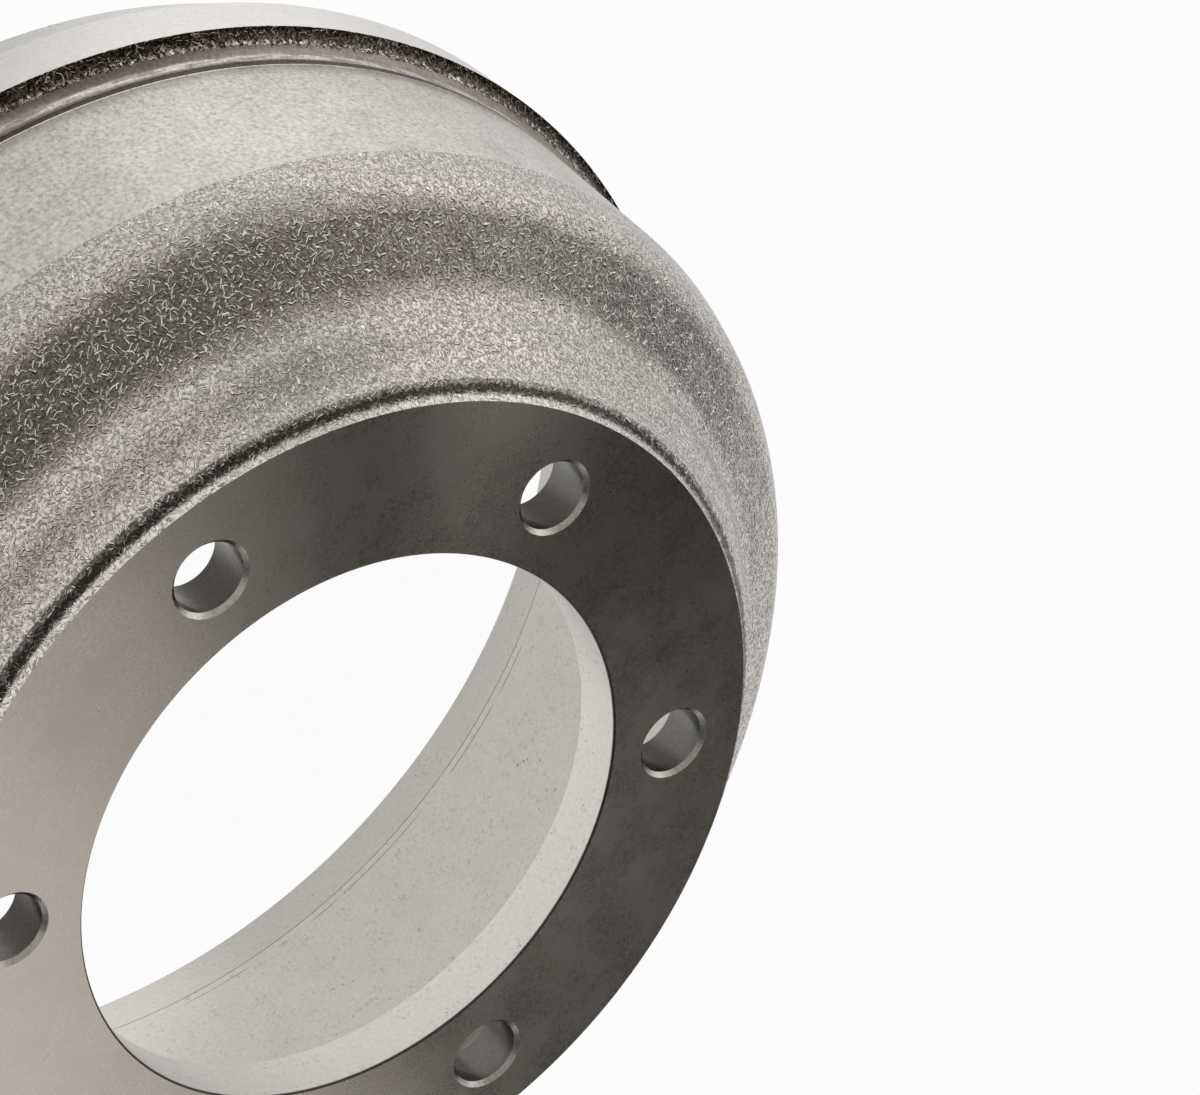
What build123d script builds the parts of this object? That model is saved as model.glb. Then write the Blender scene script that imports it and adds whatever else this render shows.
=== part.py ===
"""Brake drum for a nominal 12 x 3 inch shoe brake: one iron casting, finished by turning and drilling.

The drum stands on its open end. Its axis is Z and its origin lies on the axis, in the plane of
the open end, so the hub face that the bolts clamp is the highest face. One bolt hole lies on +X.
"""

import os
from math import isclose, radians, tan

from build123d import *

# Hub: the centre bore, the ring of bolt holes and the flat pad around them
bore_diameter = 158.4
bore_chamfer = 0.6
bolt_count = 6
bolt_hole_diameter = 19.05
bolt_hole_chamfer = 1.2
bolt_bore_wall = 10.7
bolt_edge_wall = 12.3
hub_thickness = 15.8

# Inside: the rubbing surface, the run-out groove above it and the flared mouth below it
brake_diameter = 304.8
brake_width = 76.2
undercut_width = 5.0
undercut_depth = 1.6
undercut_radius = 1.5
mouth_height = 19.5
mouth_flare = 7.1

# Outside: the turned band, which widens towards the rim, its relief and the cast step below that
drum_wall = 13.7
band_taper = 3.75
band_cover = 5.2
relief_height = 7.5
relief_depth = 2.35
relief_radius = 6.5
step_rise = 2.6
step_hollow = 7.0

# Rim: the flange, the sealing groove under it and the lip that reaches past it
flange_overhang = 6.25
flange_height = 16.6
flange_land = 2.4
groove_width = 4.7
groove_depth = 6.0
lip_height = 25.9
lip_land = 2.0
lip_chamfer_height = 9.3
rim_chamfer = 0.5

# Cast bowl, from the turned band up to the step around the hub pad
bowl_height = 49.1
bowl_dish = 6.2
crown_rise = 12.0
crown_draft = 18.0
crown_radius = 19.0
neck_share = 0.484
neck_radius = 20.0
pad_rise = 1.9
pad_draft = 1.0
ledge_width = 3.4
ledge_drop = 2.1
ledge_radius = 1.5
seat_skin = 1.5
seat_ring = 1.3
cone_inset = 3.55
cone_shelf = 4.85

# Heights above the open end
brake_top = mouth_height + brake_width
undercut_top = brake_top + undercut_width
flange_top = lip_height + flange_height
step_top = flange_top + step_rise
band_foot = step_top + relief_height
band_top = brake_top + band_cover
hub_top = band_top + bowl_height
seat_height = hub_top - hub_thickness
skin_height = seat_height - seat_skin

# Radii
bore_radius = bore_diameter / 2
bolt_hole_radius = bolt_hole_diameter / 2
bolt_circle_radius = bore_radius + bolt_bore_wall + bolt_hole_radius
pad_radius = bolt_circle_radius + bolt_hole_radius + bolt_edge_wall
brake_radius = brake_diameter / 2
run_out_radius = brake_radius + undercut_depth
mouth_radius = brake_radius + mouth_flare
lip_toe_radius = mouth_radius + lip_land


def band_radius(height: float) -> float:
    """Radius of the turned band at a height above the open end."""
    return brake_radius + drum_wall + (band_top - height) * tan(radians(band_taper))


foot_radius = band_radius(band_foot)
step_radius = foot_radius + relief_depth
flange_radius = foot_radius + flange_overhang
groove_outer_radius = flange_radius - flange_land
lip_radius = groove_outer_radius - groove_width
groove_bend = groove_width / 2
groove_spring = lip_height + groove_depth - groove_bend

# Corners of the bowl's outer side, as (radius, height)
pad_edge = Vector(pad_radius, hub_top)
pad_foot = pad_edge + Vector(pad_draft, -pad_rise)
ledge_end = pad_foot + Vector(ledge_width, -ledge_drop)
crown_foot = Vector(band_radius(band_top), band_top)
crown_corner = crown_foot + Vector(-crown_rise * tan(radians(crown_draft)), crown_rise)
bowl_run = crown_corner - ledge_end
bowl_inward = Vector(bowl_run.Y, -bowl_run.X).normalized()
neck_corner = ledge_end + bowl_run * neck_share + bowl_inward * bowl_dish

# The bowl's inner side is a straight cone, from just inside the pad's edge to the run-out groove
cone_top = Vector(pad_radius - cone_inset, skin_height)
cone_foot = Vector(run_out_radius - cone_shelf, undercut_top)
seat_radius = cone_top.X - seat_ring

# Corners that get a chamfer or a fillet
bore_upper = Vector(bore_radius, hub_top)
bore_lower = Vector(bore_radius, seat_height)
mouth_edge = Vector(mouth_radius, 0)
lip_toe = Vector(lip_toe_radius, 0)
flange_toe = Vector(flange_radius, lip_height)
run_out_corner = Vector(run_out_radius, undercut_top)

with BuildPart() as brake_drum:
    with BuildSketch(Plane.XZ) as section:
        with BuildLine():
            # Up the lip's outside, round the sealing groove and over the flange
            Polyline(
                mouth_edge,
                lip_toe,
                (lip_radius, lip_chamfer_height),
                (lip_radius, groove_spring),
            )
            ThreePointArc(
                (lip_radius, groove_spring),
                (lip_radius + groove_bend, groove_spring + groove_bend),
                (groove_outer_radius, groove_spring),
            )
            Polyline(
                (groove_outer_radius, groove_spring),
                (groove_outer_radius, lip_height),
                flange_toe,
                (flange_radius, flange_top),
            )
            # The cast step and the turned relief are both hollow; then up the band
            RadiusArc((flange_radius, flange_top), (step_radius, step_top), step_hollow)
            RadiusArc((step_radius, step_top), (foot_radius, band_foot), relief_radius)
            Line((foot_radius, band_foot), crown_foot)
            # Up the bowl to the pad, through the bore and back down the inside
            Polyline(
                crown_foot,
                crown_corner,
                neck_corner,
                ledge_end,
                pad_foot,
                pad_edge,
                bore_upper,
                bore_lower,
                (seat_radius, seat_height),
                (seat_radius, skin_height),
                cone_top,
                cone_foot,
                run_out_corner,
                (run_out_radius, brake_top + undercut_depth),
                (brake_radius, brake_top),
                (brake_radius, mouth_height),
                mouth_edge,
            )
        make_face()
        fillet(section.vertices().sort_by_distance(crown_corner)[0], crown_radius)
        fillet(section.vertices().sort_by_distance(neck_corner)[0], neck_radius)
        fillet(section.vertices().sort_by_distance(ledge_end)[0], ledge_radius)
        fillet(section.vertices().sort_by_distance(pad_foot)[0], ledge_radius)
        fillet(section.vertices().sort_by_distance(run_out_corner)[0], undercut_radius)
        for edge_corner in (mouth_edge, lip_toe, flange_toe):
            chamfer(section.vertices().sort_by_distance(edge_corner)[0], rim_chamfer)
        for edge_corner in (bore_upper, bore_lower):
            chamfer(section.vertices().sort_by_distance(edge_corner)[0], bore_chamfer)
    revolve(axis=Axis.Z)

    # Bolt holes, drilled through the hub and chamfered at both ends
    with Locations(Plane.XY.offset(hub_top)):
        with PolarLocations(bolt_circle_radius, bolt_count):
            Hole(bolt_hole_radius)
    circles = brake_drum.edges().filter_by(GeomType.CIRCLE)
    hole_rims = circles.filter_by(lambda rim: isclose(rim.radius, bolt_hole_radius))
    chamfer(hole_rims, bolt_hole_chamfer)

brake_drum.part.label = "brake_drum"

os.makedirs("parts", exist_ok=True)
export_step(brake_drum.part, "parts/brake_drum.step")
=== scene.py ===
"""Looks of a brake drum: one iron casting, turned on its band, flange, rim, hub and bore.

The drum is drawn as one closed surface of revolution with six drilled holes, on the CAD part's
own sizes. Turned iron and the cast skin are two layers of one procedural material, and their
border runs ragged where the lathe's cut leaves the rough casting.
"""

import logging
import math
from dataclasses import dataclass, field
from enum import Enum

import bpy
import numpy as np
from mathutils import Matrix, Vector

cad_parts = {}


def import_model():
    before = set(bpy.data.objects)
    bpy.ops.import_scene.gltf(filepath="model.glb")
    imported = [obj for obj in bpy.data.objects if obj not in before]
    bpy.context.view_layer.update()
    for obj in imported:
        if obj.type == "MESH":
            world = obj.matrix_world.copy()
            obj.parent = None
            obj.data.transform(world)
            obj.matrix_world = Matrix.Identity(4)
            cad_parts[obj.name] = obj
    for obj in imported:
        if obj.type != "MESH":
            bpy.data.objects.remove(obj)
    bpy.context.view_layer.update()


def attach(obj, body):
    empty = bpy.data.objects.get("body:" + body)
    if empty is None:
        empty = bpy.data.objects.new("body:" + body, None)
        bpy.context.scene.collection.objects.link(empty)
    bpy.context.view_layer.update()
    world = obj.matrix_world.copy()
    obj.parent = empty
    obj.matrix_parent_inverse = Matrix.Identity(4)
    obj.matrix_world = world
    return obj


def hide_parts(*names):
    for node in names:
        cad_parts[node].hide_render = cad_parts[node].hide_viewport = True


MM = 0.001
Colour = tuple[float, float, float]
Span = tuple[float, float]
Edge = tuple[float, float, float]
Stripe = tuple[float, float, float, float]
log = logging.getLogger("brake_drum")


# Shader graph


class Value:
    """A number or a vector that varies over a surface.

    It wraps a socket, so that shader maths on numbers is written as Python.
    """

    def __init__(self, graph: "Graph", socket: bpy.types.NodeSocket) -> None:
        """Wrap one output socket of a graph."""
        self.graph = graph
        self.socket = socket

    def __add__(self, other: "Number") -> "Value":
        """Sum."""
        return self.graph.math("ADD", self, other)

    def __sub__(self, other: "Number") -> "Value":
        """Difference."""
        return self.graph.math("SUBTRACT", self, other)

    def __mul__(self, other: "Number") -> "Value":
        """Product."""
        return self.graph.math("MULTIPLY", self, other)

    def __truediv__(self, other: "Number") -> "Value":
        """Quotient."""
        return self.graph.math("DIVIDE", self, other)

    def __rsub__(self, other: float) -> "Value":
        """Difference with the value on the right."""
        return self.graph.math("SUBTRACT", other, self)

    __radd__ = __add__
    __rmul__ = __mul__


Number = Value | float
Tint = Value | Colour


class Graph:
    """The node tree of one material or of the world."""

    def __init__(self, tree: bpy.types.NodeTree) -> None:
        """Empty the tree and keep it."""
        self.tree = tree
        tree.nodes.clear()

    def node(self, kind: str, settings: dict | None = None, inputs: dict | None = None) -> bpy.types.Node:
        """Add a node.

        Args:
            kind: The node's type, such as ShaderNodeMath.
            settings: Its own properties, set first; "stops" are the stops of a colour ramp.
            inputs: Its sockets by name or number, each a number, a colour or a Value.

        Returns:
            The new node.
        """
        made = self.tree.nodes.new(kind)
        for name, value in (settings or {}).items():
            if name == "stops":
                ramp = made.color_ramp.elements
                while len(ramp) < len(value):
                    ramp.new(1.0)
                for stop, (position, colour) in zip(ramp, value):
                    stop.position = position
                    stop.color = (*colour, 1.0)
            else:
                setattr(made, name, value)
        for key, value in (inputs or {}).items():
            if isinstance(value, Value):
                self.tree.links.new(value.socket, made.inputs[key])
            else:
                made.inputs[key].default_value = value
        return made

    def value(self, kind: str, settings: dict | None = None, inputs: dict | None = None,
              output: int | str = 0) -> Value:
        """Add a node and return one of its outputs, by number or by name."""
        return Value(self, self.node(kind, settings, inputs).outputs[output])

    def math(self, operation: str, *terms: Number) -> Value:
        """Add a Math node for one operation on one to three terms."""
        return self.value("ShaderNodeMath", {"operation": operation}, dict(enumerate(terms)))

    def vector(self, operation: str, *terms: Tint, output: str = "Vector") -> Value:
        """Add a Vector Math node for one operation on one or two vectors or colours."""
        return self.value("ShaderNodeVectorMath", {"operation": operation}, dict(enumerate(terms)), output)

    def split(self, vector: Value) -> list[Value]:
        """The three parts of a vector or a colour."""
        return [Value(self, part) for part in self.node("ShaderNodeSeparateXYZ", inputs={0: vector}).outputs]

    def joined(self, *parts: Number) -> Value:
        """A vector of three parts."""
        return self.value("ShaderNodeCombineXYZ", inputs=dict(enumerate(parts)))

    def step(self, value: Value, low: float, high: float) -> Value:
        """Rise smoothly from 0 at low to 1 at high, or fall if low is above high."""
        if low > high:
            return 1 - self.step(value, high, low)
        return self.value(
            "ShaderNodeMapRange",
            {"interpolation_type": "SMOOTHSTEP"},
            {"Value": value, "From Min": low, "From Max": high},
            "Result",
        )

    def between(self, value: Value, start: float, full: float, fading: float, end: float) -> Value:
        """Rise from 0 at start to 1 at full, and fall from 1 at fading to 0 at end."""
        return self.step(value, start, full) * self.step(value, end, fading)

    def line(self, value: Value, centre: float, full: float, faint: float) -> Value:
        """Fall from 1, up to one distance from a centre, to 0 at a greater distance."""
        return self.step(self.math("ABSOLUTE", value - centre), faint, full)

    def reach(self, x: Value, y: Value) -> Value:
        """Distance from the axis: the square root of x squared plus y squared."""
        return self.math("SQRT", x * x + y * y)

    def bearing(self, x: Value, y: Value) -> Value:
        """Direction from the axis, in degrees from +X."""
        return self.math("ARCTAN2", y, x) * (180 / math.pi)

    def mix(self, share: Value, first: Tint, second: Tint) -> Value:
        """Mix two colours by a share of the second.

        Args:
            share: 0 gives the first and 1 the second.
            first: A colour.
            second: A colour.

        Returns:
            The mixed colour.
        """
        inputs = {"Factor": share}
        for number, tint in ((6, first), (7, second)):
            inputs[number] = tint if isinstance(tint, Value) else (*tint, 1.0)
        return self.value("ShaderNodeMix", {"data_type": "RGBA"}, inputs, 2)

    def blend(self, share: Value, first: Number, second: Number) -> Value:
        """Mix two numbers by a share of the second."""
        return first + (second - first) * share

    def tinted(self, colour: Tint, shade: Number) -> Value:
        """A colour times a shade, which may vary over the surface."""
        return self.value("ShaderNodeVectorMath", {"operation": "SCALE"}, {0: colour, "Scale": shade})

    def noise(self, place: Value, scale: float, detail: float = 2.0, roughness: float = 0.5,
              output: str = "Fac") -> Value:
        """Smooth noise between 0 and 1.

        Args:
            place: The coordinates, in metres.
            scale: Features to the metre.
            detail: Number of finer layers.
            roughness: Strength of each finer layer against the one before.
            output: "Fac" for a number or "Color" for a vector.

        Returns:
            The noise.
        """
        inputs = {"Vector": place, "Scale": scale, "Detail": detail, "Roughness": roughness}
        return self.value("ShaderNodeTexNoise", {"noise_dimensions": "3D"}, inputs, output)

    def cells(self, place: Value, scale: float, dimensions: str) -> bpy.types.Node:
        """Random cells round scattered points, with scale cells to the metre."""
        return self.node(
            "ShaderNodeTexVoronoi",
            {"voronoi_dimensions": dimensions, "feature": "F1"},
            {"Vector": place, "Scale": scale, "Randomness": 1.0},
        )


def new_material(name: str) -> tuple[bpy.types.Material, Graph]:
    """Make a material and empty its graph.

    Args:
        name: The material's name.

    Returns:
        The material and its graph.
    """
    made = bpy.data.materials.new(name)
    made.use_nodes = True
    return made, Graph(made.node_tree)


def new_object(name: str, data: bpy.types.ID) -> bpy.types.Object:
    """Make an object of a mesh, a light or a camera and put it in the scene.

    Args:
        name: The object's name.
        data: Its mesh, light or camera.

    Returns:
        The object.
    """
    made = bpy.data.objects.new(name, data)
    bpy.context.scene.collection.objects.link(made)
    return made


@dataclass
class Surface:
    """The coordinates of a point on the drum, as a material reads them.

    Attributes:
        graph: The material's graph.
        ring_reach: How far a noise on rings varies along a ring, in metres to the radian.
        sheet_radius: Radius on which the sheet is laid out, in metres.
        sheet_slope: Length along the bowl's slope for each metre out and each metre down.
        place: Object coordinates, in metres.
        radius: Distance from the axis, in millimetres.
        height: Height above the open end, in millimetres.
        rings: A vector that is nearly constant along each ring round the axis, for lathe marks.
            Its first part runs across the marks on a face and on a cylinder alike; the others
            turn once round the axis, so a noise on it closes on itself.
        sheet: The surface laid out flat, in metres: round the axis, and down and out.
        wander: A noise round 0, by which borders run ragged.
    """

    graph: Graph
    ring_reach: float = 0.02
    sheet_radius: float = 0.14
    sheet_slope: float = 0.72
    place: Value = field(init=False)
    radius: Value = field(init=False)
    height: Value = field(init=False)
    rings: Value = field(init=False)
    sheet: Value = field(init=False)
    wander: Value = field(init=False)

    def __post_init__(self) -> None:
        """Work the coordinates out from the Object coordinates."""
        graph = self.graph
        self.place = graph.value("ShaderNodeTexCoord", output="Object")
        x, y, z = graph.split(self.place)
        radius = graph.reach(x, y)
        self.radius = radius * (1 / MM)
        self.height = z * (1 / MM)
        across = radius - z
        self.rings = graph.joined(across, x / radius * self.ring_reach, y / radius * self.ring_reach)
        around = graph.math("ARCTAN2", y, x) * self.sheet_radius
        self.sheet = graph.joined(around, across * self.sheet_slope, 0.0)
        self.wander = graph.noise(self.place, 700.0, 2.0, 0.6) - 0.5

    def ragged(self, amount: float) -> Value:
        """The height, in millimetres, moved up and down by up to half an amount."""
        return self.height + self.wander * amount


# Finishes


@dataclass
class Layer:
    """What one finish gives a material: its colour, its roughness and its relief in millimetres."""

    colour: Value
    roughness: Value
    relief: Value

    def under(self, graph: Graph, mask: Value, upper: "Layer") -> "Layer":
        """Cover this layer with another.

        Args:
            graph: The material's graph.
            mask: 0 where this layer shows and 1 where the other does.
            upper: The other layer.

        Returns:
            Both as one layer.
        """
        return Layer(
            graph.mix(mask, self.colour, upper.colour),
            graph.blend(mask, self.roughness, upper.roughness),
            graph.blend(mask, self.relief, upper.relief),
        )


@dataclass(frozen=True)
class TurnedIron:
    """Bare iron as the lathe leaves it: fine rings, graphite flecks and a faint mottle.

    Attributes:
        marks: Depth of the lathe rings, in millimetres.
        flecks: Strength of the small flecks, from 0 to 1.
        pits: Share of the surface that can hold graphite pits, from 0 to 1.
        streaks: How far the colour varies from ring to ring.
        grain: How far the colour varies from grain to grain.
        mottle: How far the colour varies over centimetres.
        graphite: Colour of the flecks and the pits.
        pit_size: Smallest radius of a pit, in cells.
        pit_depth: Depth of a pit, in millimetres.
    """

    marks: float = 0.004
    flecks: float = 0.5
    pits: float = 0.5
    streaks: float = 0.08
    grain: float = 0.5
    mottle: float = 0.16
    graphite: Colour = (0.13, 0.12, 0.105)
    pit_size: float = 0.04
    pit_depth: float = 0.03

    def layer(self, graph: Graph, at: Surface, colour: Tint, roughness: Number) -> Layer:
        """Build the layer's nodes.

        Args:
            graph: The material's graph.
            at: The coordinates.
            colour: The metal's colour.
            roughness: The finish's own roughness.

        Returns:
            The layer.
        """
        rings = graph.noise(at.rings, 2600.0, 3.0, 0.65)
        mottle = graph.noise(at.place, 75.0, 3.0, 0.6) - 0.5
        grain = graph.noise(at.place, 850.0, 3.0, 0.65)
        patch = graph.noise(at.place, 140.0, 2.0, 0.6)
        fleck = graph.step(grain, 0.42, 0.33) * graph.step(patch, 0.35, 0.65) * self.flecks
        speck = grain - 0.5
        cells = graph.cells(at.place, 900.0, "3D")
        chance, size, _ = graph.split(Value(graph, cells.outputs["Color"]))
        edge = Value(graph, cells.outputs["Distance"]) - (size * 0.14 + self.pit_size) + speck * 0.3
        cluster = graph.step(patch, 0.66 - 0.3 * self.pits, 0.78 - 0.2 * self.pits)
        pit = graph.step(edge, 0.08, 0.0) * graph.step(chance, 0.62, 0.68) * cluster
        shade = mottle * self.mottle + (rings - 0.5) * self.streaks + speck * self.grain + 0.93
        return Layer(
            graph.mix(pit * 0.6 + fleck * 0.5, graph.tinted(colour, shade), self.graphite),
            mottle * 0.10 + speck * 0.10 + pit * 0.2 + roughness,
            rings * self.marks - pit * self.pit_depth - fleck * 0.008 + grain * 0.010,
        )


@dataclass(frozen=True)
class CastSkin:
    """Blasted cast skin: short curved ridges, 1 to 3 mm long, on a gently uneven ground.

    Attributes:
        colour: Colour of the ground's high spots.
        low: Colour of its low spots.
        crest: Colour along the crests of the ridges, lighter as a painted highlight.
        shadow: Colour at the foot of the ridges, a painted shadow.
        roughness: The finish's own roughness.
        ridge: Height of the ridges, in millimetres.
        width: Half the width of a ridge, in millimetres.
        length: Half the length of a ridge, in millimetres.
        scale: Ridges to the metre.
        bend: How far the ridges are bent sideways, in metres.
        swell: Height of the slow swell of the ground, in millimetres.
    """

    colour: Colour = (0.72, 0.675, 0.63)
    low: Colour = (0.38, 0.35, 0.32)
    crest: Colour = (0.92, 0.88, 0.83)
    shadow: Colour = (0.12, 0.11, 0.10)
    roughness: float = 0.17
    ridge: float = 0.28
    width: float = 0.31
    length: float = 0.95
    scale: float = 520.0
    bend: float = 0.003
    swell: float = 0.8

    def strokes(self, graph: Graph, place: Value, scale: float, length: float) -> Value:
        """One set of short ridges, 0 between them and 1 along their crests.

        Each cell of a flat cell pattern holds one ridge through its centre, in the cell's own
        direction. Along and across that direction, the distances from the centre are the dot
        and the cross product with it.

        Args:
            graph: The material's graph.
            place: The sheet's coordinates, bent so that the ridges curve.
            scale: Cells to the metre.
            length: Half the length of a ridge, in millimetres.

        Returns:
            The ridges.
        """
        cells = graph.cells(place, scale, "2D")
        pick = Value(graph, cells.outputs["Color"])
        off = graph.vector("SUBTRACT", place, Value(graph, cells.outputs["Position"]))
        level = graph.vector("MULTIPLY", graph.vector("SUBTRACT", pick, (0.5, 0.5, 0.5)), (1.0, 1.0, 0.0))
        way = graph.vector("NORMALIZE", level)
        along = graph.math("ABSOLUTE", graph.vector("DOT_PRODUCT", off, way, output="Value"))
        across = graph.vector("LENGTH", graph.vector("CROSS_PRODUCT", off, way), output="Value")
        chance = graph.split(pick)[2]
        reach = length * MM
        ends = graph.step(along - chance * reach * 0.5, reach * 0.6, reach * 0.2)
        return graph.step(across, self.width * MM, 0.0) * ends * (chance * chance * 0.8 + 0.2)

    def layer(self, graph: Graph, at: Surface) -> Layer:
        """Build the layer's nodes: three sets of ridges, a fine grain and a slow swell.

        Args:
            graph: The material's graph.
            at: The coordinates.

        Returns:
            The layer.
        """
        warp = graph.vector("SUBTRACT", graph.noise(at.place, 330.0, 1.0, output="Color"), (0.5, 0.5, 0.5))
        place = graph.vector("ADD", at.sheet, graph.vector("MULTIPLY", warp, (self.bend, self.bend, 0.0)))
        aside = graph.vector("ADD", place, (0.5, 0.3, 0.0))
        ridge = self.strokes(graph, place, self.scale, self.length)
        for where, scale, length in ((place, 1.3, 0.5), (aside, 0.85, 1.2)):
            more = self.strokes(graph, where, self.scale * scale, self.length * length)
            ridge = graph.math("MAXIMUM", ridge, more)
        fine = graph.noise(at.place, 1250.0, 2.0, 0.65)
        ground = graph.mix(graph.step(fine, 0.38, 0.62), self.low, self.colour)
        # painted shadow: a dark outline round the foot of each ridge
        foot = graph.between(ridge, 0.0, 0.06, 0.12, 0.30)
        shaded = graph.mix(foot * 0.65, ground, self.shadow)
        return Layer(
            # painted highlight: the ridges' crests are coloured lighter
            graph.mix(graph.step(ridge, 0.20, 0.75), shaded, self.crest),
            (fine - 0.5) * 0.15 + self.roughness,
            (ridge + fine * 0.35) * self.ridge + graph.noise(at.place, 60.0) * self.swell,
        )


class Finish(Enum):
    """The drum's finishes, each a material slot of its mesh."""

    OUTSIDE = 0
    HUB = 1
    INSIDE = 2
    DRILLED = 3


# Sizes


@dataclass(frozen=True)
class DrumSizes:
    """Sizes of the drum in millimetres, as in the CAD part; only the cone's swell is added."""

    bore: float = 79.2
    bore_chamfer: float = 0.6
    hole: float = 9.525
    hole_chamfer: float = 1.2
    hole_count: int = 6
    hole_circle: float = 99.425
    pad: float = 121.25
    hub_top: float = 150.0
    hub_thickness: float = 15.8
    brake: float = 152.4
    brake_top: float = 95.7
    run_out: float = 154.0
    undercut_top: float = 100.7
    undercut_bend: float = 1.5
    mouth: float = 159.5
    mouth_height: float = 19.5
    lip_toe: float = 161.5
    lip_chamfer_height: float = 9.3
    lip_height: float = 25.9
    flange_land: float = 2.4
    groove_width: float = 4.7
    groove_depth: float = 6.0
    rim_chamfer: float = 0.5
    flange_top: float = 42.5
    flange_overhang: float = 6.25
    step_top: float = 45.1
    step_hollow: float = 7.0
    band_foot: float = 52.6
    band_top: float = 100.9
    band_head: float = 166.1
    band_taper: float = 3.75
    relief_depth: float = 2.35
    relief_bend: float = 6.5
    crown_rise: float = 12.0
    crown_draft: float = 18.0
    crown_bend: float = 19.0
    bowl_dish: float = 6.2
    neck_share: float = 0.484
    neck_bend: float = 20.0
    pad_rise: float = 1.9
    pad_draft: float = 1.0
    ledge_width: float = 3.4
    ledge_drop: float = 2.1
    ledge_bend: float = 1.5
    seat_skin: float = 1.5
    seat_ring: float = 1.3
    cone_inset: float = 3.55
    cone_shelf: float = 4.85
    cone_swell: float = 0.45

    @property
    def seat(self) -> float:
        """Height of the hub's inner face."""
        return self.hub_top - self.hub_thickness

    @property
    def foot(self) -> float:
        """Radius of the turned band at its foot."""
        return self.band_head + (self.band_top - self.band_foot) * math.tan(math.radians(self.band_taper))


# Dressing of the surfaces


@dataclass(frozen=True)
class Dressing:
    """How one of the drum's finishes is made.

    Attributes:
        size: The drum's sizes.
        iron: The turned iron.
        anisotropy: How far the shine is drawn out across the lathe rings, from 0 to 1.
    """

    size: DrumSizes = DrumSizes()
    iron: TurnedIron = TurnedIron()
    anisotropy: float = 0.0

    def layer(self, graph: Graph, at: Surface) -> Layer:
        """Build the nodes of the whole finish in a graph, on its coordinates."""
        raise NotImplementedError


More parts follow.
